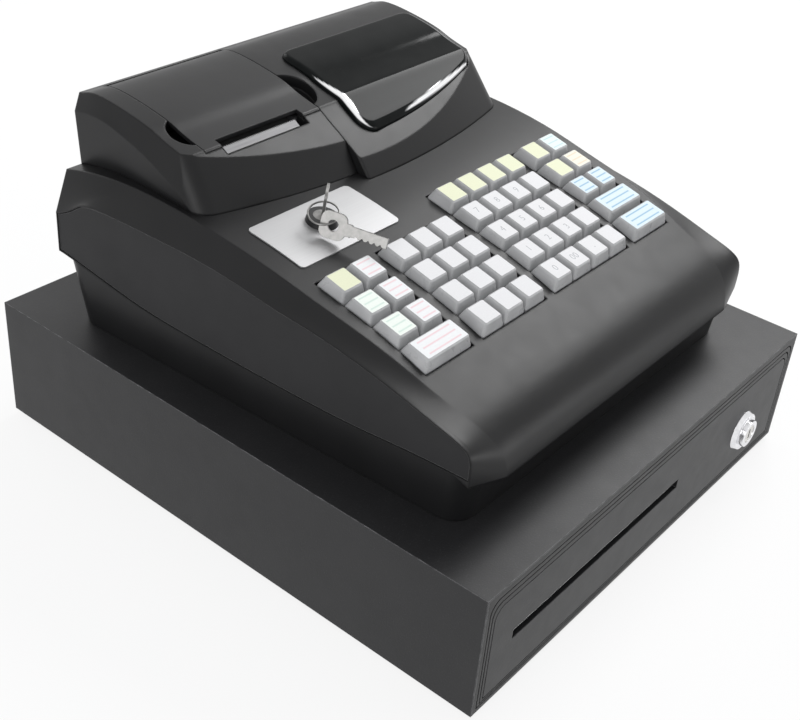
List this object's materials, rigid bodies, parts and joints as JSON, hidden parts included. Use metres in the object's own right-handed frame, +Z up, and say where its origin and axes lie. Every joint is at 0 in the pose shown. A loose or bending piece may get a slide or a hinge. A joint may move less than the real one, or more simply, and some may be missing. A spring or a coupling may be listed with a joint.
{
  "type": "ticket register",
  "caption": "Black ticket register: printer and display hump and sloped keyboard over a steel cash drawer on rollers, with mode lock, drawer lock and media slot",
  "frame": {"origin": "middle of the overall bounding box in plan, on the plane under the feet", "axes": "+X to the right of the person at the keys, -Y to the front where the drawer opens, +Z up"},
  "size_m": [0.336, 0.374, 0.2232],
  "materials": {
    "case_paint": "fine textured black powder coat",
    "frame_plastic": "satin black moulding",
    "front_paint": "satin black",
    "zinc_steel": "zinc plated sheet",
    "roller_plastic": "natural nylon",
    "foot_rubber": "matte rubber",
    "lock_chrome": "bright chrome",
    "lock_brass": "turned face",
    "till_plastic": "moulded black",
    "clip_steel": "bent spring steel",
    "solenoid_steel": "plated frame",
    "body_plastic": "fine spark-eroded black",
    "panel_plastic": "finer black texture",
    "guide_plastic": "moulded black",
    "plate_metal": "fine brushed silver",
    "barrel_plastic": "satin black",
    "key_metal": "nickel plated",
    "cover_plastic": "satin black",
    "tear_metal": "plain steel",
    "roll_paper": "thermal paper",
    "platen_rubber": "ground rubber",
    "mechanism_plastic": "moulded grey",
    "lens_glass": "polished smoked acrylic",
    "inlet_plastic": "moulded black",
    "key_plastic": "clear cap over a label"
  },
  "bodies": {
    "register": {"drawer_case": "case_paint", "drawer_bezel": "frame_plastic", "rubber_feet": "foot_rubber", "solenoid": "solenoid_steel", "upper_case": "body_plastic", "lower_case": "body_plastic", "side_panel_left": "panel_plastic", "side_panel_right": "panel_plastic", "key_guide": "guide_plastic", "label_plate": "plate_metal", "mode_lock": "barrel_plastic", "key_ring": "key_metal", "spare_key": "key_metal", "printer_housing": "body_plastic", "tear_bar": "tear_metal", "print_mechanism": "mechanism_plastic", "display_pod": "body_plastic", "display_window": "lens_glass", "power_inlet": "inlet_plastic"},
    "drawer": {"drawer_tray": "zinc_steel", "drawer_front": "front_paint", "lock_ring": "lock_chrome", "till_insert": "till_plastic", "clip_rod": "zinc_steel"},
    "case_rollers": {"case_rollers": "roller_plastic"},
    "tray_rollers": {"tray_rollers": "roller_plastic"},
    "front_lock": {"lock_plug": "lock_brass"},
    "latch": {"latch_hook": "zinc_steel"},
    "plunger": {"plunger": "zinc_steel"},
    "cover": {"printer_cover": "cover_plastic"},
    "roll": {"paper_roll": "roll_paper"},
    "platen": {"platen_roller": "platen_rubber"},
    "mode_key": {"mode_key": "key_metal"},
    "rocker": {"power_switch": "inlet_plastic"},
    "clip_1": {"bill_clip_1": "clip_steel"},
    "clip_2": {"bill_clip_2": "clip_steel"},
    "clip_3": {"bill_clip_3": "clip_steel"},
    "clip_4": {"bill_clip_4": "clip_steel"},
    "key_left_2_1": {"key_left_2_1": "key_plastic"},
    "key_left_2_2": {"key_left_2_2": "key_plastic"},
    "key_left_3_1": {"key_left_3_1": "key_plastic"},
    "key_left_3_2": {"key_left_3_2": "key_plastic"},
    "key_left_4_1": {"key_left_4_1": "key_plastic"},
    "key_left_4_2": {"key_left_4_2": "key_plastic"},
    "key_left_5_wide": {"key_left_5_wide": "key_plastic"},
    "key_far_1_1": {"key_far_1_1": "key_plastic"},
    "key_far_1_2": {"key_far_1_2": "key_plastic"},
    "key_far_2_1": {"key_far_2_1": "key_plastic"},
    "key_far_2_2": {"key_far_2_2": "key_plastic"},
    "key_far_3_1": {"key_far_3_1": "key_plastic"},
    "key_far_3_2": {"key_far_3_2": "key_plastic"},
    "key_far_4_wide": {"key_far_4_wide": "key_plastic"},
    "key_far_5_wide": {"key_far_5_wide": "key_plastic"},
    "keys_middle_1": {"keys_middle_1": "key_plastic"},
    "keys_middle_2": {"keys_middle_2": "key_plastic"},
    "keys_middle_3": {"keys_middle_3": "key_plastic"},
    "keys_right_1": {"keys_right_1": "key_plastic"},
    "keys_right_2": {"keys_right_2": "key_plastic"},
    "keys_right_3": {"keys_right_3": "key_plastic"},
    "keys_right_4": {"keys_right_4": "key_plastic"}
  },
  "joints": [
    {"name": "drawer_slide", "type": "slide", "parent": "register", "child": "drawer", "axis": [0, -1, 0], "range_m": [0, 0.25]},
    {"name": "case_roller_turn", "type": "hinge", "parent": "register", "child": "case_rollers", "pos_m": [0, -0.155, 0.0267], "axis": [1, 0, 0], "range_deg": [0, 2204.7]},
    {"name": "tray_roller_turn", "type": "hinge", "parent": "drawer", "child": "tray_rollers", "pos_m": [0, 0.141, 0.0267], "axis": [1, 0, 0], "range_deg": [0, 2204.7]},
    {"name": "front_lock_turn", "type": "hinge", "parent": "drawer", "child": "front_lock", "pos_m": [0.112, -0.181, 0.036], "axis": [0, 1, 0], "range_deg": [0, 90]},
    {"name": "latch_turn", "type": "hinge", "parent": "register", "child": "latch", "pos_m": [0, 0.1708, 0.026], "axis": [1, 0, 0], "range_deg": [-24, 0]},
    {"name": "plunger_slide", "type": "slide", "parent": "register", "child": "plunger", "axis": [0, 0, 1], "range_m": [-0.003, 0]},
    {"name": "cover_hinge", "type": "hinge", "parent": "register", "child": "cover", "pos_m": [-0.06675, 0.146, 0.21638], "axis": [-1, 0, 0], "range_deg": [0, 85]},
    {"name": "roll_turn", "type": "hinge", "parent": "register", "child": "roll", "pos_m": [-0.066, 0.115, 0.1885], "axis": [1, 0, 0], "continuous": true},
    {"name": "platen_turn", "type": "hinge", "parent": "register", "child": "platen", "pos_m": [-0.066, 0.083, 0.1995], "axis": [1, 0, 0], "continuous": true},
    {"name": "mode_turn", "type": "hinge", "parent": "register", "child": "mode_key", "pos_m": [-0.078, 0.0125, 0.1755], "axis": [0, -0.1392, 0.9903], "range_deg": [-50, 50]},
    {"name": "rocker_tilt", "type": "hinge", "parent": "register", "child": "rocker", "pos_m": [0.056, 0.151, 0.1035], "axis": [1, 0, 0], "range_deg": [0, 16]},
    {"name": "clip_1_hinge", "type": "hinge", "parent": "drawer", "child": "clip_1", "pos_m": [-0.10875, 0.142, 0.061], "axis": [-1, 0, 0], "range_deg": [0, 28], "stiffness_Nm_per_rad": 0.03, "springref_deg": -11.46},
    {"name": "clip_2_hinge", "type": "hinge", "parent": "drawer", "child": "clip_2", "pos_m": [-0.03625, 0.142, 0.061], "axis": [-1, 0, 0], "range_deg": [0, 28], "stiffness_Nm_per_rad": 0.03, "springref_deg": -11.46},
    {"name": "clip_3_hinge", "type": "hinge", "parent": "drawer", "child": "clip_3", "pos_m": [0.03625, 0.142, 0.061], "axis": [-1, 0, 0], "range_deg": [0, 28], "stiffness_Nm_per_rad": 0.03, "springref_deg": -11.46},
    {"name": "clip_4_hinge", "type": "hinge", "parent": "drawer", "child": "clip_4", "pos_m": [0.10875, 0.142, 0.061], "axis": [-1, 0, 0], "range_deg": [0, 28], "stiffness_Nm_per_rad": 0.03, "springref_deg": -11.46},
    {"name": "key_left_2_1_press", "type": "slide", "parent": "register", "child": "key_left_2_1", "axis": [0, 0.2436, -0.9699], "range_m": [0, 0.003], "stiffness_N_per_m": 150, "springref_m": -0.001},
    {"name": "key_left_2_2_press", "type": "slide", "parent": "register", "child": "key_left_2_2", "axis": [0, 0.2436, -0.9699], "range_m": [0, 0.003], "stiffness_N_per_m": 150, "springref_m": -0.001},
    {"name": "key_left_3_1_press", "type": "slide", "parent": "register", "child": "key_left_3_1", "axis": [0, 0.2436, -0.9699], "range_m": [0, 0.003], "stiffness_N_per_m": 150, "springref_m": -0.001},
    {"name": "key_left_3_2_press", "type": "slide", "parent": "register", "child": "key_left_3_2", "axis": [0, 0.2436, -0.9699], "range_m": [0, 0.003], "stiffness_N_per_m": 150, "springref_m": -0.001},
    {"name": "key_left_4_1_press", "type": "slide", "parent": "register", "child": "key_left_4_1", "axis": [0, 0.2436, -0.9699], "range_m": [0, 0.003], "stiffness_N_per_m": 150, "springref_m": -0.001},
    {"name": "key_left_4_2_press", "type": "slide", "parent": "register", "child": "key_left_4_2", "axis": [0, 0.2436, -0.9699], "range_m": [0, 0.003], "stiffness_N_per_m": 150, "springref_m": -0.001},
    {"name": "key_left_5_wide_press", "type": "slide", "parent": "register", "child": "key_left_5_wide", "axis": [0, 0.2436, -0.9699], "range_m": [0, 0.003], "stiffness_N_per_m": 150, "springref_m": -0.001},
    {"name": "key_far_1_1_press", "type": "slide", "parent": "register", "child": "key_far_1_1", "axis": [0, 0.2436, -0.9699], "range_m": [0, 0.003], "stiffness_N_per_m": 150, "springref_m": -0.001},
    {"name": "key_far_1_2_press", "type": "slide", "parent": "register", "child": "key_far_1_2", "axis": [0, 0.2436, -0.9699], "range_m": [0, 0.003], "stiffness_N_per_m": 150, "springref_m": -0.001},
    {"name": "key_far_2_1_press", "type": "slide", "parent": "register", "child": "key_far_2_1", "axis": [0, 0.2436, -0.9699], "range_m": [0, 0.003], "stiffness_N_per_m": 150, "springref_m": -0.001},
    {"name": "key_far_2_2_press", "type": "slide", "parent": "register", "child": "key_far_2_2", "axis": [0, 0.2436, -0.9699], "range_m": [0, 0.003], "stiffness_N_per_m": 150, "springref_m": -0.001},
    {"name": "key_far_3_1_press", "type": "slide", "parent": "register", "child": "key_far_3_1", "axis": [0, 0.2436, -0.9699], "range_m": [0, 0.003], "stiffness_N_per_m": 150, "springref_m": -0.001},
    {"name": "key_far_3_2_press", "type": "slide", "parent": "register", "child": "key_far_3_2", "axis": [0, 0.2436, -0.9699], "range_m": [0, 0.003], "stiffness_N_per_m": 150, "springref_m": -0.001},
    {"name": "key_far_4_wide_press", "type": "slide", "parent": "register", "child": "key_far_4_wide", "axis": [0, 0.2436, -0.9699], "range_m": [0, 0.003], "stiffness_N_per_m": 150, "springref_m": -0.001},
    {"name": "key_far_5_wide_press", "type": "slide", "parent": "register", "child": "key_far_5_wide", "axis": [0, 0.2436, -0.9699], "range_m": [0, 0.003], "stiffness_N_per_m": 150, "springref_m": -0.001},
    {"name": "keys_middle_1_press", "type": "slide", "parent": "register", "child": "keys_middle_1", "axis": [0, 0.2436, -0.9699], "range_m": [0, 0.003], "stiffness_N_per_m": 150, "springref_m": -0.001},
    {"name": "keys_middle_2_press", "type": "slide", "parent": "register", "child": "keys_middle_2", "axis": [0, 0.2436, -0.9699], "range_m": [0, 0.003], "stiffness_N_per_m": 150, "springref_m": -0.001},
    {"name": "keys_middle_3_press", "type": "slide", "parent": "register", "child": "keys_middle_3", "axis": [0, 0.2436, -0.9699], "range_m": [0, 0.003], "stiffness_N_per_m": 150, "springref_m": -0.001},
    {"name": "keys_right_1_press", "type": "slide", "parent": "register", "child": "keys_right_1", "axis": [0, 0.2436, -0.9699], "range_m": [0, 0.003], "stiffness_N_per_m": 150, "springref_m": -0.001},
    {"name": "keys_right_2_press", "type": "slide", "parent": "register", "child": "keys_right_2", "axis": [0, 0.2436, -0.9699], "range_m": [0, 0.003], "stiffness_N_per_m": 150, "springref_m": -0.001},
    {"name": "keys_right_3_press", "type": "slide", "parent": "register", "child": "keys_right_3", "axis": [0, 0.2436, -0.9699], "range_m": [0, 0.003], "stiffness_N_per_m": 150, "springref_m": -0.001},
    {"name": "keys_right_4_press", "type": "slide", "parent": "register", "child": "keys_right_4", "axis": [0, 0.2436, -0.9699], "range_m": [0, 0.003], "stiffness_N_per_m": 150, "springref_m": -0.001}
  ],
  "couplings": [
    {"joint": "case_roller_turn", "follows": "drawer_slide", "rad_per_m": 153.85},
    {"joint": "tray_roller_turn", "follows": "drawer_slide", "rad_per_m": 153.85},
    {"joint": "latch_turn", "follows": "plunger_slide", "rad_per_m": 139.63}
  ]
}
